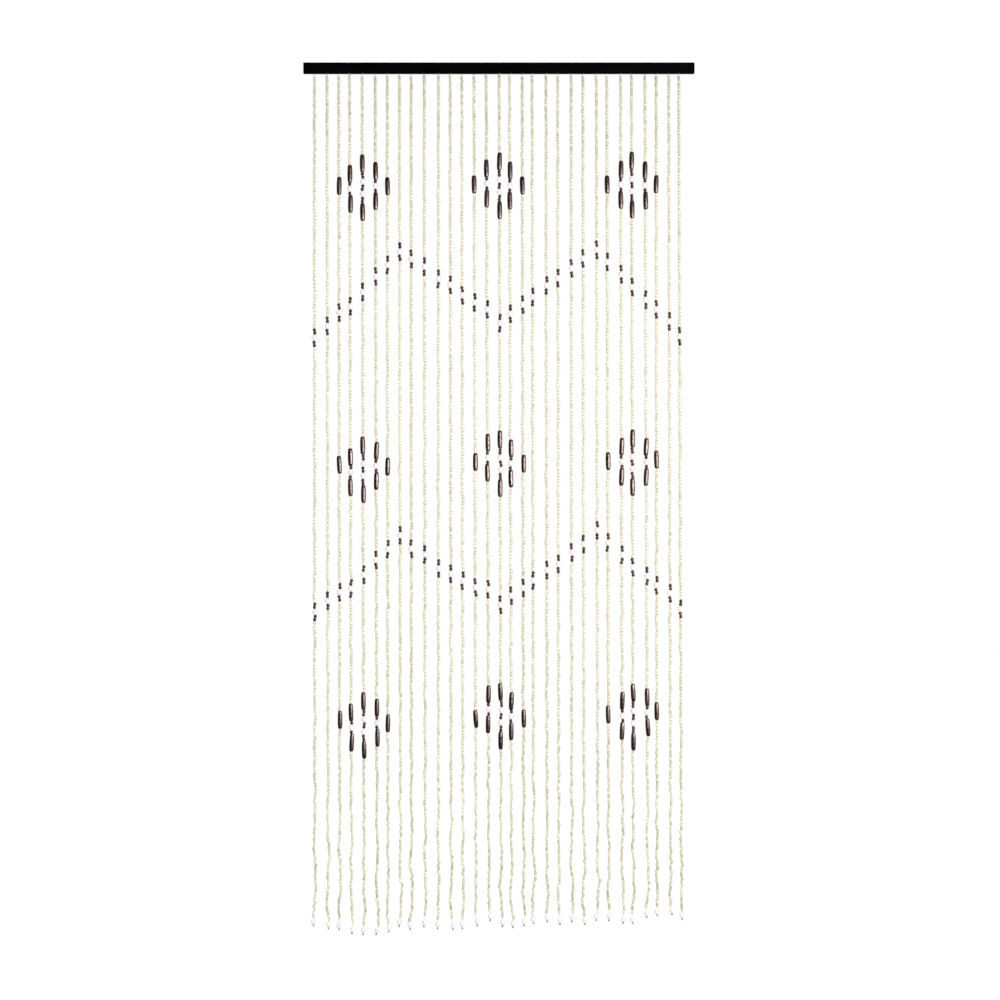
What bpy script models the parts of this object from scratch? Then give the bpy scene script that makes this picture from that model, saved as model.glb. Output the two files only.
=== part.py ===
"""Bead door curtain on a black wooden rail.

Metres, +Z up.  The origin is the centre of the rail's back face, where the rail is
fixed above a doorway.  The curtain faces -Y and +X is to the right of someone who
looks at its front.  Depths are measured down from the rail's top edge.
"""

import math
import random
from collections import namedtuple

import bmesh
import bpy

MM = 0.001
CLEARANCE = 0.3 * MM

# Rail: a plain batten with a groove along its underside for the strip
RAIL_LENGTH = 900 * MM
RAIL_HEIGHT = 25 * MM
RAIL_THICKNESS = 15 * MM
RAIL_EDGE = 1.5 * MM
STRIP_WIDTH = 3.0 * MM
STRIP_HEIGHT = 2.0 * MM
STRIP_END_MARGIN = 6 * MM

# Small bright eyes under the rail, one around each string
EYE_OUTER_RADIUS = 2.6 * MM
EYE_INNER_RADIUS = 1.5 * MM
EYE_HEIGHT = 1.8 * MM
EYE_SIDES = 8

# Strings and beads
FIRST_STRAND = 25.4 * MM
STRAND_PITCH = 27.95 * MM
STRAND_Y = -RAIL_THICKNESS / 2
CORD_RADIUS = 1.0 * MM
SMALL_RADIUS = 3.9 * MM
LONG_BEAD_LENGTH = 40.5 * MM
LONG_BEAD_RADIUS = 5.9 * MM
LONG_BEAD_SHOULDER = 0.30
WHITE_BEAD_LENGTH = 13.0 * MM
WHITE_BEAD_RADIUS = 6.5 * MM
WHITE_BEAD_SHOULDER = 0.19
KNOT_LENGTH = 5.0 * MM
KNOT_RADIUS = 2.6 * MM
BEAD_GAP = 0.6 * MM
BEAD_TAPER = 1.2 * MM
SLACK_UNDER_EYE = (0.5 * MM, 4.5 * MM)
BARE_CORD_AT_END = (0.8 * MM, 8.0 * MM)

# Room that one bead takes on its string: long, dark small, white
BEAD_ROOM = {"L": 40.8 * MM, "d": 7.3 * MM, "W": 13.6 * MM}

# Patterns, as beads in order down the string
ZIGZAG_BEADS = "ddWdd"
DIAMOND_BEADS = {0: "LddWddWddL", 1: "LdWdL", 2: "L"}
DIAMOND_STRANDS = (5, 16, 27)
DIAMOND_DEPTHS = (283 * MM, 923 * MM, 1505 * MM)
ZIGZAG_PEAKS = (8, 24)
Zigzag = namedtuple("Zigzag", "peak_depth outer_step inner_step")
ZIGZAGS = (
    Zigzag(435 * MM, 28.0 * MM, 20.5 * MM),
    Zigzag(1084 * MM, 26.0 * MM, 20.5 * MM),
)

# How far each string runs off its even place, in millimetres:
# nudge      sideways at the rail
# drift      sideways at the lower end, beside the nudge
# slip_mid   how low the pattern comes at MID_DEPTH
# slip_low   the same at LOW_DEPTH
# length     depth of the knot's lowest point
Strand = namedtuple("Strand", "nudge drift slip_mid slip_low length")
MID_DEPTH = 690 * MM
LOW_DEPTH = 1500 * MM
STRANDS = (
    Strand(0, 1, 2, -4, 1988),
    Strand(1, 3, 3, -4, 1995),
    Strand(0, 3, 0, 7, 1997),
    Strand(-3, 5, 17, 25, 2006),
    Strand(-2, 5, 11, 20, 2008),
    Strand(0, 5, 1, 14, 2008),
    Strand(0, 2, 3, 15, 2002),
    Strand(0, 3, -1, 8, 1990),
    Strand(-1, 1, -6, 33, 1997),
    Strand(1, 3, -10, 21, 1990),
    Strand(6, 0, 1, 32, 1995),
    Strand(5, 3, -8, 23, 1997),
    Strand(4, 3, -3, 11, 1995),
    Strand(4, 5, -8, 5, 1988),
    Strand(4, 7, -13, -17, 1976),
    Strand(6, 5, 0, -1, 1990),
    Strand(2, 5, -1, -1, 1992),
    Strand(3, 4, -2, 4, 1988),
    Strand(-2, 4, 2, 7, 1983),
    Strand(2, 3, -6, 7, 1979),
    Strand(1, 3, -1, 15, 1985),
    Strand(4, 2, -4, 7, 1979),
    Strand(3, 3, -8, 14, 1985),
    Strand(6, 4, -7, -9, 1976),
    Strand(2, 5, -7, -5, 1976),
    Strand(6, 5, -6, -2, 1983),
    Strand(3, 5, -4, 1, 1983),
    Strand(6, 7, -2, -10, 1969),
    Strand(4, 2, -9, -13, 1965),
    Strand(5, 5, -9, -24, 1962),
    Strand(0, 7, -2, -12, 1974),
)

# Waves of the light lower ends, where the beads' weight no longer pulls them straight
WAVE_START = 1430 * MM
WAVE_SPAN = 560 * MM
WAVE_GROWTH = 1.6
WAVE_SIDEWAYS = 4.5 * MM
WAVE_FORWARD = 3.0 * MM
WAVE_LENGTHS = (130 * MM, 200 * MM)
WAVE_STATION = 38 * MM
WAVE_SEED = 5


def depth_to_z(depth):
    return RAIL_HEIGHT / 2 - depth


def paint(obj, name, colour, roughness, metallic=0.0):
    """Give the object a plain surface of its own."""
    material = bpy.data.materials.get(name) or bpy.data.materials.new(name)
    material.use_nodes = True
    surface = material.node_tree.nodes["Principled BSDF"]
    surface.inputs["Base Color"].default_value = (*colour, 1.0)
    surface.inputs["Roughness"].default_value = roughness
    surface.inputs["Metallic"].default_value = metallic
    if not obj.data.materials:
        obj.data.materials.append(material)


def add_object(name, mesh, parent=None):
    obj = bpy.data.objects.new(name, mesh)
    bpy.context.collection.objects.link(obj)
    obj.parent = parent
    return obj


def mesh_from(bm, name):
    bmesh.ops.recalc_face_normals(bm, faces=bm.faces)
    mesh = bpy.data.meshes.new(name)
    bm.to_mesh(mesh)
    bm.free()
    return mesh


def box_mesh(name, size, centre):
    """A box of the given size, with its middle at centre."""
    bm = bmesh.new()
    bmesh.ops.create_cube(bm, size=1.0)
    bmesh.ops.scale(bm, vec=size, verts=bm.verts)
    bmesh.ops.translate(bm, vec=centre, verts=bm.verts)
    return mesh_from(bm, name)


def hide_helper(obj):
    """Mark an object that only shapes another one."""
    obj.hide_render = True
    obj.display_type = "WIRE"


def combine(obj, helper, operation):
    boolean = obj.modifiers.new(operation.lower(), "BOOLEAN")
    boolean.operation = operation
    boolean.solver = "EXACT"
    boolean.object = helper


def add_rail(parent):
    """The wooden batten, its edges eased, with the groove cut along its underside."""
    centre = (0, STRAND_Y, 0)
    size = (RAIL_LENGTH, RAIL_THICKNESS, RAIL_HEIGHT)
    rail = add_object("rail", box_mesh("rail", size, centre), parent)
    bevel = rail.modifiers.new("eased_edges", "BEVEL")
    bevel.width = RAIL_EDGE
    bevel.segments = 2
    groove_size = (
        RAIL_LENGTH - 2 * STRIP_END_MARGIN + 2 * CLEARANCE,
        STRIP_WIDTH + 2 * CLEARANCE,
        2 * (STRIP_HEIGHT + 2 * CLEARANCE),
    )
    groove_centre = (0, STRAND_Y, depth_to_z(RAIL_HEIGHT))
    groove = add_object("groove_cutter", box_mesh("groove", groove_size, groove_centre), parent)
    hide_helper(groove)
    combine(rail, groove, "DIFFERENCE")
    paint(rail, "black_lacquered_wood", (0.006, 0.005, 0.006), 0.45)


def eye_mesh():
    """A small turned ring, seen as a bright dot where the string leaves the rail."""
    bm = bmesh.new()
    profile = (
        (EYE_OUTER_RADIUS, EYE_HEIGHT / 2),
        (EYE_OUTER_RADIUS, -EYE_HEIGHT / 2),
        (EYE_INNER_RADIUS, -EYE_HEIGHT / 2),
        (EYE_INNER_RADIUS, EYE_HEIGHT / 2),
    )
    rings = []
    for side in range(EYE_SIDES):
        angle = 2 * math.pi * side / EYE_SIDES
        rings.append([bm.verts.new((r * math.cos(angle), r * math.sin(angle), z)) for r, z in profile])
    for here, after in zip(rings, rings[1:] + rings[:1]):
        for k in range(len(profile)):
            following = (k + 1) % len(profile)
            bm.faces.new((here[k], here[following], after[following], after[k]))
    mesh = mesh_from(bm, "eye")
    mesh.shade_smooth()
    mesh.set_sharp_from_angle(angle=math.radians(60))
    return mesh


def strand_x(number):
    """Where a string leaves the rail; strings are counted from 1 at the left."""
    even = FIRST_STRAND + STRAND_PITCH * (number - 1)
    return even + STRANDS[number - 1].nudge * MM - RAIL_LENGTH / 2


def add_eyes(parent):
    mesh = eye_mesh()
    depth = RAIL_HEIGHT + CLEARANCE + EYE_HEIGHT / 2
    for number in range(1, len(STRANDS) + 1):
        eye = add_object(f"eye_{number:02d}", mesh, parent)
        eye.location = (strand_x(number), STRAND_Y, depth_to_z(depth))
        paint(eye, "bright_metal", (0.85, 0.85, 0.84), 0.2, 1.0)


def slip(strand, depth):
    """How far the pattern has run low by this depth, because beads differ in length."""
    if depth < MID_DEPTH:
        return strand.slip_mid * MM * depth / MID_DEPTH
    share = min(1.0, (depth - MID_DEPTH) / (LOW_DEPTH - MID_DEPTH))
    return (strand.slip_mid + (strand.slip_low - strand.slip_mid) * share) * MM


def zigzag_depth(number, zigzag):
    """Even depth of a zigzag's white bead on one string."""
    steps = min(abs(number - peak) for peak in ZIGZAG_PEAKS)
    inside = ZIGZAG_PEAKS[0] < number < ZIGZAG_PEAKS[1]
    return zigzag.peak_depth + steps * (zigzag.inner_step if inside else zigzag.outer_step)


def lay_beads(order, centre):
    """Centre depths of the beads in a group, as (kind, depth) down the string."""
    depth = centre - sum(BEAD_ROOM[kind] for kind in order) / 2
    beads = []
    for kind in order:
        beads.append((kind, depth + BEAD_ROOM[kind] / 2))
        depth += BEAD_ROOM[kind]
    return beads


def pattern_beads(number):
    """Every bead of the diamonds and zigzags on one string."""
    groups = [(ZIGZAG_BEADS, zigzag_depth(number, zigzag)) for zigzag in ZIGZAGS]
    steps = min(abs(number - centre) for centre in DIAMOND_STRANDS)
    if steps in DIAMOND_BEADS:
        groups += [(DIAMOND_BEADS[steps], depth) for depth in DIAMOND_DEPTHS]
    beads = []
    for order, depth in sorted(groups, key=lambda group: group[1]):
        beads += lay_beads(order, depth + slip(STRANDS[number - 1], depth))
    return beads


def swelling(kind, centre):
    """Sections through one bead that is thicker than the small ones: (depth, radius)."""
    if kind == "L":
        length, share, radius = LONG_BEAD_LENGTH, LONG_BEAD_SHOULDER, LONG_BEAD_RADIUS
    else:
        length, share, radius = WHITE_BEAD_LENGTH, WHITE_BEAD_SHOULDER, WHITE_BEAD_RADIUS
    return [
        (centre - length / 2, SMALL_RADIUS),
        (centre - length * share, radius),
        (centre + length * share, radius),
        (centre + length / 2, SMALL_RADIUS),
    ]


def strand_sections(number, chance):
    """Depth and radius of every section of one string, from its root in the strip down."""
    end = STRANDS[number - 1].length * MM
    eye_bottom = RAIL_HEIGHT + CLEARANCE + EYE_HEIGHT
    first_bead = eye_bottom + CLEARANCE + chance.uniform(*SLACK_UNDER_EYE)
    knot_top = end - KNOT_LENGTH
    white_top = knot_top - BEAD_GAP - WHITE_BEAD_LENGTH
    last_bead = white_top - chance.uniform(*BARE_CORD_AT_END)

    sections = [(RAIL_HEIGHT - STRIP_HEIGHT / 2, CORD_RADIUS)]
    sections.append((first_bead - BEAD_TAPER / 2, CORD_RADIUS))
    sections.append((first_bead + BEAD_TAPER, SMALL_RADIUS))
    for kind, centre in pattern_beads(number):
        if kind != "d":
            sections += swelling(kind, centre)
    depth = max(WAVE_START, sections[-1][0]) + WAVE_STATION
    while depth < last_bead - WAVE_STATION / 2:
        sections.append((depth, SMALL_RADIUS))
        depth += WAVE_STATION
    sections.append((last_bead - BEAD_TAPER, SMALL_RADIUS))
    sections.append((last_bead + BEAD_TAPER / 2, CORD_RADIUS))
    white = swelling("W", white_top + WHITE_BEAD_LENGTH / 2)
    sections.append((white[0][0], 2 * CORD_RADIUS))
    sections += white[1:3]
    sections.append((white[3][0], 2 * CORD_RADIUS))
    sections.append((knot_top + 0.3 * KNOT_LENGTH, KNOT_RADIUS))
    sections.append((end, CORD_RADIUS))
    return sections


def wave_maker(number, chance):
    """A function that gives a string's sideways and forward place at any depth."""
    strength = chance.uniform(0.35, 1.0)
    sideways_length = chance.uniform(*WAVE_LENGTHS)
    forward_length = chance.uniform(*WAVE_LENGTHS)
    sideways_phase = chance.uniform(0, 2 * math.pi)
    forward_phase = chance.uniform(0, 2 * math.pi)
    root = strand_x(number)
    strand = STRANDS[number - 1]

    def place(depth):
        grown = max(0.0, (depth - WAVE_START) / WAVE_SPAN) ** WAVE_GROWTH
        sideways = math.sin(2 * math.pi * depth / sideways_length + sideways_phase)
        forward = 0.5 + 0.5 * math.sin(2 * math.pi * depth / forward_length + forward_phase)
        x = root + strand.drift * MM * depth / (strand.length * MM)
        x += WAVE_SIDEWAYS * strength * grown * sideways
        return x, STRAND_Y - WAVE_FORWARD * grown * forward

    return place


def add_strand(bm, number, chance):
    """One string as a four-sided rod that swells at each long and each white bead."""
    place = wave_maker(number, chance)
    rings = []
    for depth, radius in strand_sections(number, chance):
        x, y = place(depth)
        z = depth_to_z(depth)
        corners = ((x + radius, y), (x, y + radius), (x - radius, y), (x, y - radius))
        rings.append([bm.verts.new((cx, cy, z)) for cx, cy in corners])
    for upper, lower in zip(rings, rings[1:]):
        for k in range(4):
            bm.faces.new((upper[k], upper[(k + 1) % 4], lower[(k + 1) % 4], lower[k]))
    bm.faces.new(rings[0])
    bm.faces.new(rings[-1])


def add_bead_strands(parent):
    """All strings, their roots fused into the narrow strip that sits in the rail's groove."""
    chance = random.Random(WAVE_SEED)
    bm = bmesh.new()
    for number in range(1, len(STRANDS) + 1):
        add_strand(bm, number, chance)
    strings = add_object("loose_strings", mesh_from(bm, "loose_strings"), parent)
    hide_helper(strings)

    size = (RAIL_LENGTH - 2 * STRIP_END_MARGIN, STRIP_WIDTH, STRIP_HEIGHT)
    centre = (0, STRAND_Y, depth_to_z(RAIL_HEIGHT - CLEARANCE - STRIP_HEIGHT / 2))
    strands = add_object("bead_strands", box_mesh("bead_strands", size, centre), parent)
    combine(strands, strings, "UNION")
    paint(strands, "bamboo_beads", (0.72, 0.68, 0.50), 0.5)


def main():
    for obj in list(bpy.data.objects):
        bpy.data.objects.remove(obj, do_unlink=True)
    curtain = bpy.data.objects.new("door_curtain", None)
    bpy.context.collection.objects.link(curtain)
    add_rail(curtain)
    add_eyes(curtain)
    add_bead_strands(curtain)


main()
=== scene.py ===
"""Looks of the bead door curtain: its beads, strings, eyes and knots, the rail and the light.

Metres, +Z up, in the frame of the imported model.  The curtain faces -Y.  A depth is a
distance down from the origin's level, so it is minus a height.
"""

import math
from collections import namedtuple

import bmesh
import bpy
import numpy as np
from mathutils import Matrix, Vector


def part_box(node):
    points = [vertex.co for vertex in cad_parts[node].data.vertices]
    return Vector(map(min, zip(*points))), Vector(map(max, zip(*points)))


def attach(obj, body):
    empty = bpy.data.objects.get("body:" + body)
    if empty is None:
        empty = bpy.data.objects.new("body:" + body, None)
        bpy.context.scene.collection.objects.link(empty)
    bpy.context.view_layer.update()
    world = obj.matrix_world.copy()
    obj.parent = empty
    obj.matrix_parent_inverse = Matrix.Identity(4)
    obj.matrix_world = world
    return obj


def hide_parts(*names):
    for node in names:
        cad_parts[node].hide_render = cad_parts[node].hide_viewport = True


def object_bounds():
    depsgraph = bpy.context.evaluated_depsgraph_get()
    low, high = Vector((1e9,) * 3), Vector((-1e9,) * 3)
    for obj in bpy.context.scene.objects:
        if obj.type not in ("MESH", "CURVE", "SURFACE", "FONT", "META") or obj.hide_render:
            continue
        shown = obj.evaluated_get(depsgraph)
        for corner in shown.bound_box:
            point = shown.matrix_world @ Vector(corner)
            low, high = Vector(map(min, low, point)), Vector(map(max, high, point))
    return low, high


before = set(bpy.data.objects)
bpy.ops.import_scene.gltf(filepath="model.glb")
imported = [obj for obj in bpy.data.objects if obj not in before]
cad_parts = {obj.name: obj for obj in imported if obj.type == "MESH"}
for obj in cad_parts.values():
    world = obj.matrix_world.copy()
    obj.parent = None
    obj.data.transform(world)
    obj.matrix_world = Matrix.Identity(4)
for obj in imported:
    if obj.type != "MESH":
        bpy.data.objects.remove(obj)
cad_low, cad_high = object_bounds()

MM = 0.001
UV_MAP = "OFBake"
SEED = 31
CHANCE = np.random.default_rng(SEED)

# Camera: level, square on to the curtain, at the middle of the photograph's frame
CAMERA_DISTANCE = 5.5
FRAME_WIDTH = 2.302
FRAME_CENTRE = (2.5 * MM, -993.7 * MM)
SENSOR_WIDTH = 36.0

# Room that one bead takes on its string, the share of it that the bead fills, and its radius
BeadSize = namedtuple("BeadSize", "room fill radius")
SIZES = {
    "pale": BeadSize(7.8 * MM, 0.955, 3.7 * MM),
    "dark": BeadSize(7.3 * MM, 0.97, 4.05 * MM),
    "long": BeadSize(40.8 * MM, 0.992, 5.9 * MM),
    "white": BeadSize(13.6 * MM, 0.965, 6.6 * MM),
}
LENGTH_SPREAD = (0.88, 1.12)

# How the solid's sections tell the beads: a long or white bead is thicker than the first
# radius, and a white one than the second.  A gap under CLOSE_BEADS holds dark beads alone,
# and a wider one holds pale beads, with a few dark ones next to a white bead.
THICK_RADIUS = 4.5 * MM
WHITE_RADIUS = 6.2 * MM
CLOSE_BEADS = 20 * MM
DARK_BESIDE_WHITE = 2
TAPER_ABOVE_BEAD = 0.6 * MM

# String paths: points at each step, smoothed over some steps either way, and held straight
# at the rail.  The waves have lengths between two bounds and grow down the string.
PATH_STEP = 2 * MM
PATH_SMOOTHING = 9
STRAIGHT_TOP = 150 * MM
Wobble = namedtuple("Wobble", "shortest longest at_top at_bottom")
WOBBLES = (
    Wobble(28 * MM, 44 * MM, 0.17 * MM, 0.34 * MM),
    Wobble(55 * MM, 95 * MM, 0.18 * MM, 0.70 * MM),
    Wobble(110 * MM, 190 * MM, 0.22 * MM, 0.40 * MM),
)
WAVES_EACH = 2
FRONT_TO_BACK = 0.5

Bead = namedtuple("Bead", "kind top bottom")
Shape = namedtuple("Shape", "points faces corner_uv")


# String paths and the order of beads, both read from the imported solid, a four-sided rod
# for each string
ROD_SIDES = 4
WELD_DISTANCE = 1e-6


def islands(bm):
    """Groups of joined vertices."""
    left = set(bm.verts)
    while left:
        group = [left.pop()]
        for vertex in group:
            for edge in vertex.link_edges:
                other = edge.other_vert(vertex)
                if other in left:
                    left.remove(other)
                    group.append(other)
        yield group


def read_strings():
    """Sections of each string from the left, top down, in rows of x, y, depth and radius."""
    bm = bmesh.new()
    bm.from_mesh(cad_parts["bead_strands"].data)
    bmesh.ops.remove_doubles(bm, verts=bm.verts, dist=WELD_DISTANCE)
    rail_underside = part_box("rail")[0].z
    above = [vertex for vertex in bm.verts if vertex.co.z > rail_underside]
    bmesh.ops.delete(bm, geom=above, context="VERTS")
    strings = []
    for group in islands(bm):
        corners = np.array([vertex.co for vertex in group])
        corners = corners[np.argsort(-corners[:, 2])].reshape(-1, ROD_SIDES, 3)
        centre = corners.mean(axis=1)
        radius = np.ptp(corners[:, :, 0], axis=1) / 2
        strings.append(np.column_stack([centre[:, 0], centre[:, 1], -centre[:, 2], radius]))
    bm.free()
    return sorted(strings, key=lambda sections: sections[0, 0])


class Path:
    """The line that a string's beads follow: the solid's own, smoothed, with a slight wobble."""

    def __init__(self, sections):
        top = -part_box("bead_strands")[1].z
        self.depth = np.arange(top, sections[-1, 2] + PATH_STEP, PATH_STEP)
        self.x = self.smooth(np.interp(self.depth, sections[:, 2], sections[:, 0]))
        self.y = self.smooth(np.interp(self.depth, sections[:, 2], sections[:, 1]))
        self.x += self.wobble()
        self.y += FRONT_TO_BACK * self.wobble()

    def smooth(self, values):
        kernel = np.hanning(2 * PATH_SMOOTHING + 3)[1:-1]
        padded = np.pad(values, PATH_SMOOTHING, mode="edge")
        return np.convolve(padded, kernel / kernel.sum(), mode="valid")

    def wobble(self):
        """Uneven waves of several lengths, which fade out where the string leaves the rail."""
        share = self.depth / self.depth[-1]
        held = np.clip(self.depth / STRAIGHT_TOP, 0, 1)
        offset = np.zeros(len(self.depth))
        for wobble in WOBBLES:
            size = wobble.at_top + (wobble.at_bottom - wobble.at_top) * share
            for _ in range(WAVES_EACH):
                length = CHANCE.uniform(wobble.shortest, wobble.longest)
                phase = CHANCE.uniform(0, 2 * math.pi)
                offset += size * np.sin(2 * math.pi * self.depth / length + phase)
        return offset * held

    def at(self, depth):
        x = np.interp(depth, self.depth, self.x)
        y = np.interp(depth, self.depth, self.y)
        return np.column_stack([x, y, -depth])

    def slope(self, depth, reach):
        """Sideways and forward run for each metre of rise, over the reach above and below."""
        upper = self.at(depth - reach)
        lower = self.at(depth + reach)
        return (upper - lower)[:, :2] / (2 * reach)


def fill(kind, top, bottom):
    """Beads of one kind, each of its own length, that together fill a stretch of string."""
    count = max(1, round((bottom - top) / SIZES[kind].room))
    lengths = CHANCE.uniform(*LENGTH_SPREAD, count)
    edges = top + (bottom - top) * np.concatenate([[0], np.cumsum(lengths) / lengths.sum()])
    return [Bead(kind, upper, lower) for upper, lower in zip(edges, edges[1:])]


def thick_beads(sections):
    """The long and white beads, which show as pairs of thick sections."""
    thick = sections[sections[:, 3] > THICK_RADIUS].reshape(-1, 2, 4).mean(axis=1)
    beads = []
    for depth, radius in thick[:, 2:]:
        kind = "white" if radius > WHITE_RADIUS else "long"
        half = SIZES[kind].room / 2
        beads.append(Bead(kind, depth - half, depth + half))
    return beads


def between(above, below):
    """The small beads from one bead of the pattern to the next."""
    top, bottom = above.bottom, below.top
    if bottom - top < CLOSE_BEADS:
        return fill("dark", top, bottom)
    pair = DARK_BESIDE_WHITE * SIZES["dark"].room
    upper, lower = [], []
    if above.kind == "white":
        upper = fill("dark", top, top + pair)
        top += pair
    if below.kind == "white":
        lower = fill("dark", bottom - pair, bottom)
        bottom -= pair
    return upper + fill("pale", top, bottom) + lower


def thread(sections):
    """Every bead of one string from the rail down.

    The small beads stop where the solid narrows to bare string above the last white bead.
    """
    *pattern, end_bead = thick_beads(sections)
    start = sections[0, 2] + TAPER_ABOVE_BEAD
    before_end = sections[sections[:, 2] < end_bead.top + SIZES["white"].room / 4]
    stop = before_end[before_end[:, 3] < 2 * CORD_RADIUS][-1, 2] - TAPER_ABOVE_BEAD
    stations = [Bead("start", start, start), *pattern, Bead("stop", stop, stop)]
    beads = []
    for above, below in zip(stations, stations[1:]):
        beads += between(above, below)
        beads.append(below)
    return [bead for bead in beads if bead.kind in SIZES] + [end_bead]


# Bead shapes, and the part of a bead's map that its side and the middles of its ends take
SIDE_ROWS = (0.12, 0.88)
END_ROWS = (0.02, 0.98)


def turned_shape(half_profile, sides):
    """A bead turned from (place along its axis, radius), both as shares, the same up and down.

    The profile starts at the middle of the lower end, so its first radius is nought.
    """
    (pole, _), *half = half_profile
    profile = half + [(-t, r) for t, r in reversed(half) if t < 0]
    angles = 2 * math.pi * np.arange(sides) / sides
    points = [(r * math.cos(a), r * math.sin(a), t) for t, r in profile for a in angles]
    points += [(0, 0, pole), (0, 0, -pole)]
    first_pole, last_pole = len(points) - 2, len(points) - 1
    last_ring = (len(profile) - 1) * sides
    rows = np.linspace(*SIDE_ROWS, len(profile))
    faces, corner_uv = [], []
    for side in range(sides):
        after = (side + 1) % sides
        left, right, middle = side / sides, (side + 1) / sides, (side + 0.5) / sides
        for ring in range(len(profile) - 1):
            low, high = ring * sides, (ring + 1) * sides
            faces.append((low + side, low + after, high + after, high + side))
            corner_uv += [(left, rows[ring]), (right, rows[ring])]
            corner_uv += [(right, rows[ring + 1]), (left, rows[ring + 1])]
        faces.append((first_pole, after, side))
        corner_uv += [(middle, END_ROWS[0]), (right, rows[0]), (left, rows[0])]
        faces.append((last_pole, last_ring + side, last_ring + after))
        corner_uv += [(middle, END_ROWS[1]), (left, rows[-1]), (right, rows[-1])]
    return Shape(np.array(points), faces, np.array(corner_uv))


SHAPES = {
    "pale": turned_shape([(-0.88, 0), (-1.0, 0.58), (-0.80, 0.88), (-0.3, 1.0)], 9),
    "dark": turned_shape(
        [(-0.7, 0), (-0.9, 0.26), (-1.0, 0.31), (-0.99, 0.5), (-0.78, 0.8), (-0.36, 0.98)], 10
    ),
    "long": turned_shape(
        [(-0.93, 0), (-0.97, 0.16), (-0.99, 0.19), (-1.0, 0.5), (-0.99, 0.66), (-0.965, 0.75),
         (-0.9, 0.83), (-0.74, 0.91), (-0.48, 0.975), (0.0, 1.0)], 20
    ),
    "white": turned_shape(
        [(-0.8, 0), (-0.94, 0.15), (-0.985, 0.19), (-0.96, 0.36), (-0.85, 0.58), (-0.66, 0.78),
         (-0.38, 0.93), (0.0, 1.0)], 18
    ),
}

# How unevenly each kind is cut and threaded, lengths in metres and the rest as shares.
# Toward the lower end, where less weight pulls the string straight, the beads sit more
# loosely and are slimmer.  Each sits to another side of the string than the last, turned
# by an angle in radians.
LOOSE_DEPTHS = (0.3, 1.3, 1.95)
LOOSENESS = (0.8, 1.0, 1.4)
GIRTHS = (1.0, 0.98, 0.89)
TURN_TO_NEXT = (1.9, 4.4)
OFF_CENTRE_SPREAD = (0.3, 1.0)
Unevenness = namedtuple("Unevenness", "size oval taper off_centre tilt")
UNEVENNESS = {
    "pale": Unevenness(0.10, 0.08, 0.07, 0.95 * MM, 0.13),
    "dark": Unevenness(0.06, 0.06, 0.05, 1.0 * MM, 0.14),
    "long": Unevenness(0.03, 0.02, 0.03, 0.3 * MM, 0.012),
    "white": Unevenness(0.01, 0.01, 0.0, 0.2 * MM, 0.05),
}


def place_beads(kind, beads, path):
    """Points of all the beads, in an array of bead, point and coordinate."""
    shape, size, uneven = SHAPES[kind], SIZES[kind], UNEVENNESS[kind]
    count = len(beads)
    depth = np.array([(bead.top + bead.bottom) / 2 for bead in beads])
    half = np.array([(bead.bottom - bead.top) / 2 for bead in beads]) * size.fill
    radius = size.radius * (1 - uneven.size * CHANCE.uniform(0, 1, count))
    radius *= np.interp(depth, LOOSE_DEPTHS, GIRTHS)
    oval = 1 - uneven.oval * CHANCE.uniform(0, 1, count)
    taper = CHANCE.uniform(-uneven.taper, uneven.taper, count)
    spin = CHANCE.uniform(0, 2 * math.pi, count)
    side = np.cumsum(CHANCE.uniform(*TURN_TO_NEXT, count))
    off_centre = uneven.off_centre * CHANCE.uniform(*OFF_CENTRE_SPREAD, count)
    off_centre *= np.interp(depth, LOOSE_DEPTHS, LOOSENESS)
    lean = path.slope(depth, size.room / 2)
    lean += CHANCE.uniform(-uneven.tilt, uneven.tilt, (count, 2))

    cos, sin = np.cos(spin)[:, None], np.sin(spin)[:, None]
    raw_x, raw_y, raw_z = shape.points.T
    girth = radius[:, None] * (1 + taper[:, None] * raw_z)
    wide = girth * (raw_x * cos - raw_y * sin)
    deep = girth * oval[:, None] * (raw_x * sin + raw_y * cos)
    tall = half[:, None] * raw_z
    centre = path.at(depth)
    x = (centre[:, 0] + off_centre * np.cos(side))[:, None] + wide + lean[:, :1] * tall
    y = (centre[:, 1] + off_centre * np.sin(side))[:, None] + deep + lean[:, 1:] * tall
    z = centre[:, 2][:, None] + tall - lean[:, :1] * wide - lean[:, 1:] * deep
    return np.stack([x, y, z], axis=2)


# Colours drift along a string as its beads come from one cane after another.  A bead's tone
# is part its string's, part its cane's and part its own.  Its shade is by chance too, in a
# range that changes down the string, and a few odd beads are darker.  Beads near the rail
# are painted darker as painted shade, and those toward the lower end are a little darker too.
BEADS_PER_CANE = 6
STRING_TONES = (0.3, 0.7)
STRING_PART, CANE_PART, OWN_PART = 0.25, 0.35, 0.4
ODD_BEADS = 0.05
ODD_BEAD_SHADE = 0.25
STRING_SHADE = 0.2
SHADE_SKEW = 1.5
SHADE_DEPTHS = (0.0, 0.26, 0.6, 1.3, 1.95)
SHADE_AT_DEPTHS = (0.36, 0.08, 0.0, 0.02, 0.13)
SHADE_RANGES = (0.6, 0.38, 0.32, 0.46, 0.75)


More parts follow.
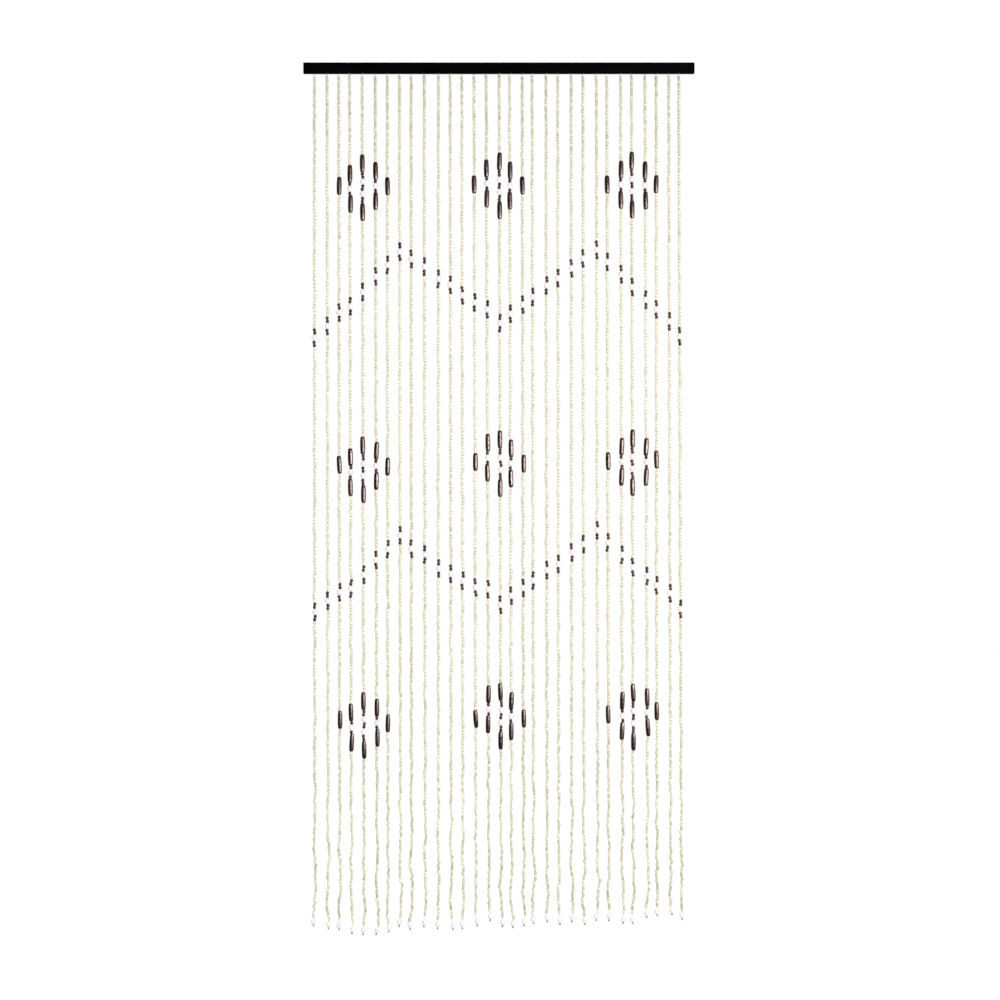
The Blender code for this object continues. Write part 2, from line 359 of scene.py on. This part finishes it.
def pale_tones(beads):
    """Tone and shade from 0 to 1 for each bead of a string."""
    count = len(beads)
    canes = count // BEADS_PER_CANE + 2
    cane_tones = CHANCE.uniform(0, 1, canes)
    cane = np.interp(np.arange(count) / BEADS_PER_CANE, np.arange(canes), cane_tones)
    own = CHANCE.uniform(0, 1, count)
    string = CHANCE.uniform(*STRING_TONES)
    tone = STRING_PART * string + CANE_PART * cane + OWN_PART * own
    depth = np.array([bead.top for bead in beads])
    # Painted shade: the beads are darker near the rail, and a little darker toward the lower end.
    shade = np.interp(depth, SHADE_DEPTHS, SHADE_AT_DEPTHS)
    shade += STRING_SHADE * CHANCE.uniform(0, 1)
    spread = np.interp(depth, SHADE_DEPTHS, SHADE_RANGES)
    shade += spread * CHANCE.uniform(0, 1, count) ** SHADE_SKEW
    shade += ODD_BEAD_SHADE * (CHANCE.uniform(0, 1, count) < ODD_BEADS)
    return tone, np.clip(shade, 0, 1)


# Millimetres of wood that the beads are cut from, and the rim left free in each tile of a map
GRAIN_REACH = 500
TILE_RIM = 0.04


def joined_beads(name, kind, points, tone, shade, slot, material):
    """One mesh of many beads, each with its own tone, shade, grain and tile of the map."""
    shape, size = SHAPES[kind], SIZES[kind]
    count, each = points.shape[:2]
    faces = [tuple(k + each * bead for k in face) for bead in range(count) for face in shape.faces]
    grain = shape.points * (size.radius / MM, size.radius / MM, size.room / 2 / MM)
    grain = grain[None] + CHANCE.uniform(0, GRAIN_REACH, (count, 1, 3))
    columns = math.ceil(math.sqrt(count))
    tile = np.stack([np.arange(count) % columns, np.arange(count) // columns], axis=1)
    in_tile = TILE_RIM + (1 - 2 * TILE_RIM) * shape.corner_uv[None]
    uv = (tile[:, None] + in_tile) / columns
    values = {
        "tone": np.repeat(tone, each),
        "shade": np.repeat(shade, each),
        "along": np.tile(np.abs(shape.points[:, 2]), count),
    }
    return add_piece(name, points.reshape(-1, 3), faces, slot, material, grain, values, uv)


def add_piece(name, points, faces, slot, material, grain, values=None, uv=None):
    """A smooth-shaded piece of the curtain with its own map and named values."""
    mesh = bpy.data.meshes.new(name)
    mesh.from_pydata(points.tolist(), [], faces)
    mesh.shade_smooth()
    mesh.materials.append(material)
    layer = mesh.attributes.new("grain", "FLOAT_VECTOR", "POINT")
    layer.data.foreach_set("vector", np.ascontiguousarray(grain, dtype=np.float32).ravel())
    for value, numbers in (values or {}).items():
        layer = mesh.attributes.new(value, "FLOAT", "POINT")
        layer.data.foreach_set("value", np.ascontiguousarray(numbers, dtype=np.float32))
    if uv is not None:
        mesh.uv_layers.new(name=UV_MAP).uv.foreach_set("vector", uv.astype(np.float32).ravel())
    piece = bpy.data.objects.new(name, mesh)
    bpy.context.collection.objects.link(piece)
    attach(piece, "root")
    return piece


# Strings, eyes, knots and strip

def tube(centres, radii, sides):
    """Points and faces of a closed round rod through the centres, which run mostly up and down."""
    angles = 2 * math.pi * np.arange(sides) / sides
    ring = np.column_stack([np.cos(angles), np.sin(angles), np.zeros(sides)])
    points = (centres[:, None] + np.asarray(radii)[:, None, None] * ring[None]).reshape(-1, 3)
    faces = []
    for k in range(len(centres) - 1):
        for side in range(sides):
            after = (side + 1) % sides
            upper, lower = k * sides, (k + 1) * sides
            faces.append((upper + side, lower + side, lower + after, upper + after))
    faces.append(tuple(range(sides)))
    faces.append(tuple(reversed(range(len(points) - sides, len(points)))))
    return points, faces


def torus(centre, ring_radius, tube_radius, sides, around, tilt=(0, 0), flatten=1.0):
    """Points and faces of a wire ring that lies level, or leans by the tilt."""
    turn = 2 * math.pi * np.arange(sides)[:, None] / sides
    roll = 2 * math.pi * np.arange(around)[None] / around
    reach = ring_radius + tube_radius * np.cos(roll)
    x, y = reach * np.cos(turn), reach * np.sin(turn)
    z = flatten * tube_radius * np.sin(roll) + tilt[0] * x + tilt[1] * y
    points = np.stack([x, y, z], axis=2).reshape(-1, 3) + np.array(centre)
    faces = []
    for k in range(sides):
        for m in range(around):
            here, after = k * around, (k + 1) % sides * around
            up = (m + 1) % around
            faces.append((here + m, after + m, after + up, here + up))
    return points, faces


def join(parts):
    """One list of points and one of faces from several."""
    all_points, all_faces, start = [], [], 0
    for points, faces in parts:
        all_points.append(points)
        all_faces += [tuple(k + start for k in face) for face in faces]
        start += len(points)
    return np.concatenate(all_points), all_faces


CORD_RADIUS = 0.75 * MM
CORD_SIDES = 6
CORD_STEP = 30 * MM
CORD_INTO_STRIP = 1 * MM
CORD_END_HEIGHT = 1.2 * MM

# A knot's wraps and cut tail, with heights above the tail's end
KNOT_WRAPS = 3
KNOT_RING = 1.45 * MM
KNOT_RING_SPREAD = (0.85, 1.05)
KNOT_WIRE = 0.72 * MM
KNOT_PITCH = 1.15 * MM
KNOT_OFFSET = 0.8 * MM
LOWEST_WRAP = 1.9 * MM
WRAP_OFFSET = 0.25 * MM
WRAP_TILT = 0.35
WRAP_FACES = (14, 8)
TAIL_HEIGHTS = np.array([3.2, 1.6, 0.05]) * MM
TAIL_RADII = np.array([0.9, 0.75, 0.45]) * MM
TAIL_BEND = np.array([0, 0.4, 1])
TAIL_SWING = 0.8 * MM
TAIL_SIDES = 8


def cord_parts(sections, path):
    """The string itself, from the strip in the rail to its knot."""
    top = -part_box("bead_strands")[1].z + CORD_INTO_STRIP
    bottom = sections[-1, 2] - CORD_END_HEIGHT
    depth = np.linspace(top, bottom, round((bottom - top) / CORD_STEP))
    return tube(path.at(depth), np.full(len(depth), CORD_RADIUS), CORD_SIDES)


def knot_parts(sections, path):
    """A few uneven wraps of string with a short cut tail."""
    end = sections[-1, 2]
    parts = []
    aside = CHANCE.uniform(-KNOT_OFFSET, KNOT_OFFSET)
    for wrap in range(KNOT_WRAPS):
        depth = end - LOWEST_WRAP - wrap * KNOT_PITCH
        centre = path.at(np.array([depth]))[0]
        centre[:2] += CHANCE.uniform(-WRAP_OFFSET, WRAP_OFFSET, 2)
        centre[0] += aside * (1 - wrap / KNOT_WRAPS)
        tilt = CHANCE.uniform(-WRAP_TILT, WRAP_TILT, 2)
        ring = KNOT_RING * CHANCE.uniform(*KNOT_RING_SPREAD)
        parts.append(torus(centre, ring, KNOT_WIRE, *WRAP_FACES, tilt=tilt))
    tail = path.at(end - TAIL_HEIGHTS)
    tail[:, 0] += aside + CHANCE.uniform(-TAIL_SWING, TAIL_SWING) * TAIL_BEND
    parts.append(tube(tail, TAIL_RADII, TAIL_SIDES))
    return parts


EYE_WIRE_SHARE = 0.24
EYE_FACES = (20, 10)


def eye_parts(number):
    """A round wire ring of its solid's width and height."""
    low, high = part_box(f"eye_{number:02d}")
    outer = (high.x - low.x) / 2
    wire = EYE_WIRE_SHARE * outer
    centre = tuple((low + high) / 2)
    flatten = (high.z - low.z) / 2 / wire
    return torus(centre, outer - wire, wire, *EYE_FACES, flatten=flatten)


STRIP_HALF_WIDTH = 1.5 * MM
STRIP_HEIGHT = 2.0 * MM
STRIP_EASE = 0.3 * MM


def strip_parts():
    """The narrow strip in the rail's groove, with eased edges."""
    low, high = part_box("bead_strands")
    rail_low, rail_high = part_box("rail")
    middle_y = (rail_low.y + rail_high.y) / 2
    half, bottom, ease = STRIP_HALF_WIDTH, -STRIP_HEIGHT, STRIP_EASE
    outline = [
        (-half, bottom + ease),
        (-half + ease, bottom),
        (half - ease, bottom),
        (half, bottom + ease),
        (half, -ease),
        (half - ease, 0),
        (-half + ease, 0),
        (-half, -ease),
    ]
    points = [(x, middle_y + y, high.z + z) for x in (low.x, high.x) for y, z in outline]
    count = len(outline)
    faces = [tuple(range(count)), tuple(reversed(range(count, 2 * count)))]
    for k in range(count):
        after = (k + 1) % count
        faces.append((k, k + count, after + count, after))
    return np.array(points), faces


# Materials

class Nodes:
    """A short way to build the nodes of a material or the world."""

    def __init__(self, owner):
        owner.use_nodes = True
        self.owner = owner
        self.tree = owner.node_tree

    def add(self, kind, inputs=None, **settings):
        node = self.tree.nodes.new(kind)
        for key, value in settings.items():
            setattr(node, key, value)
        for key, value in (inputs or {}).items():
            self.feed(node.inputs[key], value)
        return node

    def feed(self, socket, value):
        if isinstance(value, bpy.types.NodeSocket):
            self.tree.links.new(value, socket)
        else:
            socket.default_value = value

    def spread(self, value, low, high, to_low=0.0, to_high=1.0):
        """The value, with the range from low to high mapped onto another and cut off there."""
        inputs = {"Value": value, "From Min": low, "From Max": high}
        inputs |= {"To Min": to_low, "To Max": to_high}
        return self.add("ShaderNodeMapRange", inputs).outputs[0]


class Surface(Nodes):
    """The nodes of one material."""

    def __init__(self, name):
        super().__init__(bpy.data.materials.new(name))
        self.shader = self.tree.nodes["Principled BSDF"]

    def attribute(self, name, output="Fac"):
        return self.add("ShaderNodeAttribute", attribute_name=name).outputs[output]

    def scaled(self, place, scale):
        return self.add("ShaderNodeMapping", {"Vector": place, "Scale": scale}).outputs[0]

    def grain(self, scale):
        """Place in a bead's own wood in millimetres, stretched by the scale."""
        return self.scaled(self.attribute("grain", "Vector"), scale)

    def noise(self, place, detail=2.0, rough=0.5):
        inputs = {"Vector": place, "Scale": 1.0, "Detail": detail, "Roughness": rough}
        return self.add("ShaderNodeTexNoise", inputs).outputs["Fac"]

    def ramp(self, value, stops):
        node = self.add("ShaderNodeValToRGB", {"Fac": value})
        elements = node.color_ramp.elements
        while len(elements) < len(stops):
            elements.new(0.5)
        for element, (place, colour) in zip(elements, stops):
            element.position = place
            element.color = (*colour, 1.0)
        return node.outputs["Color"]

    def mix(self, factor, first, second, blend="MIX"):
        node = self.add("ShaderNodeMix", data_type="RGBA", blend_type=blend)
        self.feed(node.inputs["Factor"], factor)
        for key, colour in (("A", first), ("B", second)):
            is_socket = isinstance(colour, bpy.types.NodeSocket)
            self.feed(node.inputs[key], colour if is_socket else (*colour, 1.0))
        return node.outputs["Result"]

    def bump(self, height, strength, distance):
        inputs = {"Height": height, "Strength": strength, "Distance": distance}
        node = self.add("ShaderNodeBump", inputs)
        self.feed(self.shader.inputs["Normal"], node.outputs["Normal"])

    def finish(self, **inputs):
        for key, value in inputs.items():
            self.feed(self.shader.inputs[key.replace("_", " ")], value)
        return self.owner


def bamboo():
    """Pale beads: cream to olive and tan, with fine fibres, darker patches, and ends darkened by
    soil and by painted shade in the gaps.
    """
    nodes = Surface("bamboo_beads")
    tone = nodes.ramp(nodes.attribute("tone"), [
        (0.08, (0.72, 0.69, 0.46)),
        (0.25, (0.77, 0.75, 0.55)),
        (0.42, (0.82, 0.79, 0.64)),
        (0.60, (0.85, 0.82, 0.70)),
        (0.75, (0.81, 0.71, 0.59)),
        (0.90, (0.67, 0.70, 0.49)),
    ])
    # The shade value darkens a bead: partly its own colour by chance, partly painted shade near the
    # rail.
    shaded = nodes.mix(nodes.attribute("shade"), tone, (0.46, 0.44, 0.30))
    fibre = nodes.noise(nodes.grain((2.2, 2.2, 0.22)), 3.0, 0.6)
    blotch = nodes.noise(nodes.grain((0.25, 0.25, 0.2)))
    streaks = nodes.spread(fibre, 0.5, 0.72, 0.0, 0.55)
    patches = nodes.spread(blotch, 0.48, 0.75, 0.0, 0.30)
    # Each bead darkens toward its ends: partly soil, partly painted shade in the gap between beads.
    ends = nodes.spread(nodes.attribute("along"), 0.7, 1.0, 0.0, 0.6)
    streaked = nodes.mix(streaks, shaded, (0.55, 0.52, 0.42), "MULTIPLY")
    patchy = nodes.mix(patches, streaked, (0.58, 0.55, 0.36))
    soiled_and_gap_shade = nodes.mix(ends, patchy, (0.41, 0.40, 0.30))
    nodes.bump(fibre, 0.35, 0.25 * MM)
    return nodes.finish(
        Base_Color=soiled_and_gap_shade,
        Roughness=nodes.spread(blotch, 0.3, 0.7, 0.36, 0.55),
        Specular_IOR_Level=0.15,
    )


def small_dark_wood():
    """Small dark beads: red-brown stain with a little paler grain, under a varnish."""
    nodes = Surface("small_dark_beads")
    fibre = nodes.noise(nodes.grain((1.6, 1.6, 0.2)), 3.0, 0.6)
    tone = nodes.mix(nodes.attribute("tone"), (0.012, 0.002, 0.002), (0.065, 0.012, 0.006))
    grained = nodes.mix(nodes.spread(fibre, 0.5, 0.75, 0.0, 0.6), tone, (0.13, 0.045, 0.028))
    nodes.bump(fibre, 0.3, 0.2 * MM)
    return nodes.finish(
        Base_Color=grained,
        Roughness=nodes.spread(fibre, 0.3, 0.7, 0.2, 0.36),
        Specular_IOR_Level=0.5,
        Specular_Tint=(1.0, 0.76, 0.66, 1.0),
    )


def long_dark_wood():
    """Long beads: stained brown-black, with paler open grain along them, under a varnish."""
    nodes = Surface("long_dark_beads")
    fibre = nodes.noise(nodes.grain((1.5, 1.5, 0.07)), 4.0, 0.65)
    pores = nodes.noise(nodes.grain((2.6, 2.6, 0.3)))
    mottle = nodes.noise(nodes.grain((0.26, 0.26, 0.12)), 4.0, 0.65)
    tone = nodes.mix(nodes.attribute("tone"), (0.003, 0.0008, 0.0008), (0.018, 0.005, 0.0045))
    grained = nodes.mix(nodes.spread(fibre, 0.5, 0.72, 0.0, 0.45), tone, (0.05, 0.021, 0.018))
    pored = nodes.mix(nodes.spread(pores, 0.56, 0.72, 0.0, 0.8), grained, (0.004, 0.001, 0.001))
    ends = nodes.spread(nodes.attribute("along"), 0.94, 1.0, 0.0, 0.35)
    worn = nodes.mix(ends, pored, (0.07, 0.033, 0.027))
    dents = nodes.spread(mottle, 0.3, 0.7, 0.0, 2.0)
    relief = nodes.add("ShaderNodeMath", {0: pores, 1: dents}, operation="ADD").outputs[0]
    nodes.bump(relief, 0.7, 0.16 * MM)
    matt = nodes.spread(mottle, 0.38, 0.62, 0.13, 0.42)
    dulled = nodes.spread(nodes.attribute("shade"), 0.0, 1.0, 0.0, 0.13)
    roughness = nodes.add("ShaderNodeMath", {0: matt, 1: dulled}, operation="ADD").outputs[0]
    return nodes.finish(
        Base_Color=worn,
        Roughness=roughness,
        Specular_IOR_Level=0.85,
        Specular_Tint=(1.0, 0.75, 0.66, 1.0),
        Coat_Weight=0.3,
        Coat_Roughness=0.28,
        Coat_Tint=(1.0, 0.92, 0.9, 1.0),
    )


def white_enamel():
    """White beads: slightly uneven enamel, a little worn round the holes."""
    nodes = Surface("white_beads")
    mottle = nodes.noise(nodes.grain((0.35, 0.35, 0.35)), 3.0)
    colour = nodes.mix(nodes.spread(mottle, 0.35, 0.7), (0.71, 0.675, 0.665), (0.78, 0.745, 0.735))
    ends = nodes.spread(nodes.attribute("along"), 0.9, 1.0, 0.0, 0.5)
    edged = nodes.mix(ends, colour, (0.66, 0.62, 0.58))
    nodes.bump(mottle, 0.15, 0.2 * MM)
    return nodes.finish(
        Base_Color=edged,
        Roughness=nodes.spread(mottle, 0.3, 0.7, 0.16, 0.28),
        Specular_IOR_Level=0.3,
        Sheen_Weight=0.9,
    )


def string_fibre(name, dark, light):
    """Twisted string: slanted plies with a little fuzz."""
    nodes = Surface(name)
    plies = nodes.add(
        "ShaderNodeTexWave",
        {"Vector": nodes.grain((1.0, 1.0, 1.0)), "Scale": 0.55, "Distortion": 1.2, "Detail": 2.0},
        bands_direction="DIAGONAL",
    ).outputs["Fac"]
    fuzz = nodes.noise(nodes.grain((6.0, 6.0, 6.0)))
    colour = nodes.mix(nodes.spread(plies, 0.2, 0.8), dark, light)
    nodes.bump(plies, 0.6, 0.3 * MM)
    return nodes.finish(Base_Color=colour, Roughness=nodes.spread(fuzz, 0.3, 0.7, 0.75, 0.95))


def bright_wire():
    """The eyes: plated wire with light scuffs."""
    nodes = Surface("bright_metal")
    scuff = nodes.noise(nodes.grain((1.2, 1.2, 1.2)), 3.0)
    colour = nodes.mix(nodes.spread(scuff, 0.4, 0.7), (0.86, 0.86, 0.85), (0.70, 0.70, 0.69))
    nodes.bump(scuff, 0.1, 0.1 * MM)
    return nodes.finish(
        Base_Color=colour,
        Metallic=0.6,
        Roughness=nodes.spread(scuff, 0.3, 0.7, 0.12, 0.28),
    )


def black_lacquer():
    """The rail: thin black lacquer over straight grain, with a few specks, scaled in metres."""
    nodes = Surface("black_lacquered_wood")
    place = nodes.add("ShaderNodeTexCoord").outputs["Object"]
    grain = nodes.noise(nodes.scaled(place, (9.0, 420.0, 420.0)), 4.0, 0.6)
    specks = nodes.noise(nodes.scaled(place, (300.0, 300.0, 300.0)))
    streaks = nodes.spread(grain, 0.45, 0.75)
    stained = nodes.mix(streaks, (0.0008, 0.0007, 0.0008), (0.002, 0.0016, 0.0016))
    scuffs = nodes.spread(specks, 0.76, 0.82, 0.0, 0.4)
    scuffed = nodes.mix(scuffs, stained, (0.02, 0.018, 0.018))
    nodes.bump(grain, 0.3, 0.15 * MM)
    return nodes.finish(
        Base_Color=scuffed,
        Roughness=nodes.spread(grain, 0.3, 0.7, 0.22, 0.34),
        Specular_IOR_Level=0.03,
    )


# The curtain

def dress_strings(materials):
    """Pale beads string by string, and the other beads, cords and knots each in one piece."""
    slots = {"dark": "small_dark_beads", "long": "long_dark_beads", "white": "white_beads"}
    gathered = {kind: [] for kind in slots}
    cords, knots, made = [], [], []
    for number, sections in enumerate(read_strings(), start=1):
        path = Path(sections)
        beads = thread(sections)
        pale = [bead for bead in beads if bead.kind == "pale"]
        points = place_beads("pale", pale, path)
        name = f"bamboo_beads_{number:02d}"
        tones = pale_tones(pale)
        made.append(joined_beads(name, "pale", points, *tones, "bamboo_beads", materials["pale"]))
        for kind in gathered:
            chosen = [bead for bead in beads if bead.kind == kind]
            if chosen:
                gathered[kind].append(place_beads(kind, chosen, path))
        cords.append(cord_parts(sections, path))
        knots += knot_parts(sections, path)
    for kind, slot in slots.items():
        points = np.concatenate(gathered[kind])
        tone, shade = CHANCE.uniform(0, 1, (2, len(points)))
        made.append(joined_beads(slot, kind, points, tone, shade, slot, materials[kind]))
    for name, parts, slot in (("strings", cords, "cord"), ("end_knots", knots, "knot_cord")):
        points, faces = join(parts)
        made.append(add_piece(name, points, faces, slot, materials[slot], points / MM))
    return made


def dress_strip(lacquer):
    points, faces = strip_parts()
    strip = add_piece("root_strip", points, faces, "black_lacquered_wood", lacquer, points / MM)
    strip.data.shade_flat()
    return strip


def dress_eyes():
    eyes = sorted(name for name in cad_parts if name.startswith("eye_"))
    points, faces = join([eye_parts(number) for number in range(1, len(eyes) + 1)])
    rings = add_piece("wire_eyes", points, faces, "bright_metal", bright_wire(), points / MM)
    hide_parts(*eyes)


def dress_curtain():
    materials = {
        "pale": bamboo(),
        "dark": small_dark_wood(),
        "long": long_dark_wood(),
        "white": white_enamel(),
        "cord": string_fibre("cord", (0.62, 0.59, 0.52), (0.84, 0.82, 0.76)),
        "knot_cord": string_fibre("knot_cord", (0.14, 0.14, 0.135), (0.40, 0.39, 0.38)),
    }
    lacquer = black_lacquer()
    for piece in [*dress_strings(materials), dress_strip(lacquer)]:
        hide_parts("bead_strands")
    dress_eyes()
    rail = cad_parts["rail"]
    rail.data.materials.clear()
    rail.data.materials.append(lacquer)


# Stage, light and camera.  The room's glow is HORIZON_GLOW level and STEEP_GLOW straight up
# or down, and only MIRRORED_SHARE of it shows in gloss.
FLOOR_BELOW = 0.22
FLOOR_HALF_WIDTH = 14.0
FLOOR_GLOW = 1.0
HORIZON_GLOW = 0.60
STEEP_GLOW = 1.2
MIRRORED_SHARE = 0.03
SEEN_WHITE = 1.0


def add_floor():
    """A wide pale floor a little under the knots, evenly bright, that lights nothing itself."""
    z = cad_low.z - FLOOR_BELOW
    half = FLOOR_HALF_WIDTH
    corners = [(-half, -half, z), (half, -half, z), (half, half, z), (-half, half, z)]
    mesh = bpy.data.meshes.new("floor")
    mesh.from_pydata(corners, [], [(0, 1, 2, 3)])
    floor = bpy.data.objects.new("floor", mesh)
    bpy.context.collection.objects.link(floor)
    nodes = Surface("pale_floor")
    mesh.materials.append(nodes.finish(
        Base_Color=(0.02, 0.02, 0.02, 1.0),
        Roughness=1.0,
        Specular_IOR_Level=0.0,
        Emission_Color=(1.0, 1.0, 1.0, 1.0),
        Emission_Strength=FLOOR_GLOW,
    ))
    floor.visible_diffuse = False
    floor.visible_glossy = False


def add_soft_light(name, place, aim, size, watts, lit=True, mirrored=True):
    """A wide light that lights nothing unless lit and shows in no gloss unless mirrored."""
    data = bpy.data.lights.new(name, "AREA")
    data.shape = "RECTANGLE"
    data.size, data.size_y = size
    data.energy = watts
    light = bpy.data.objects.new(name, data)
    light.location = place
    light.rotation_euler = (Vector(aim) - light.location).to_track_quat("-Z", "Y").to_euler()
    light.visible_camera = False
    light.visible_diffuse = lit
    light.visible_glossy = mirrored
    bpy.context.collection.objects.link(light)


def add_world():
    """A white room, brightest above and below, dim in gloss and plain white to the camera."""
    world = bpy.data.worlds.new("studio")
    bpy.context.scene.world = world
    nodes = Nodes(world)
    direction = nodes.add("ShaderNodeTexCoord").outputs["Generated"]
    height = nodes.add("ShaderNodeSeparateXYZ", {0: direction}).outputs["Z"]
    steep = nodes.add("ShaderNodeMath", {0: height}, operation="ABSOLUTE").outputs[0]
    glow = nodes.spread(steep, 0.0, 1.0, HORIZON_GLOW, STEEP_GLOW)
    ray = nodes.add("ShaderNodeLightPath").outputs
    share = nodes.spread(ray["Is Glossy Ray"], 0.0, 1.0, 1.0, MIRRORED_SHARE)
    strength = nodes.add("ShaderNodeMath", {0: glow, 1: share}, operation="MULTIPLY").outputs[0]
    room = nodes.add("ShaderNodeBackground", {"Color": (1, 1, 1, 1), "Strength": strength})
    plain = nodes.add("ShaderNodeBackground", {"Color": (1, 1, 1, 1), "Strength": SEEN_WHITE})
    choice = {0: ray["Is Camera Ray"], 1: room.outputs[0], 2: plain.outputs[0]}
    mixed = nodes.add("ShaderNodeMixShader", choice)
    nodes.feed(nodes.tree.nodes["World Output"].inputs["Surface"], mixed.outputs[0])


def add_light():
    """The white room, a light from the right, its gloss, and one light each behind and in front."""
    add_world()
    add_soft_light(
        "key", place=(2.3, -1.7, -0.73), aim=(0, 0, -0.73), size=(3.0, 1.0), watts=24,
        mirrored=False,
    )
    add_soft_light(
        "shine", place=(1.9, -2.2, -0.83), aim=(0, 0, -0.83), size=(3.6, 1.2), watts=240,
        lit=False,
    )
    add_soft_light(
        "rear_fill", place=(0, 4.2, -1.1), aim=(0, 0, -1.1), size=(2.0, 2.0), watts=150,
        mirrored=False,
    )
    add_soft_light(
        "fill", place=(0.9, -4.2, -0.9), aim=(0, 0, -1.0), size=(2.0, 2.0), watts=84,
        mirrored=False,
    )


def add_camera():
    """A level camera whose view is as wide as the photograph at the rail."""
    data = bpy.data.cameras.new("camera")
    data.sensor_width = SENSOR_WIDTH
    data.lens = SENSOR_WIDTH * CAMERA_DISTANCE / FRAME_WIDTH
    camera = bpy.data.objects.new("camera", data)
    rail_low, rail_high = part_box("rail")
    middle_y = (rail_low.y + rail_high.y) / 2
    camera.location = (FRAME_CENTRE[0], middle_y - CAMERA_DISTANCE, FRAME_CENTRE[1])
    camera.rotation_euler = (math.pi / 2, 0, 0)
    bpy.context.collection.objects.link(camera)
    bpy.context.scene.camera = camera


bpy.context.scene.view_settings.view_transform = "Standard"
add_camera()
dress_curtain()
add_floor()
add_light()
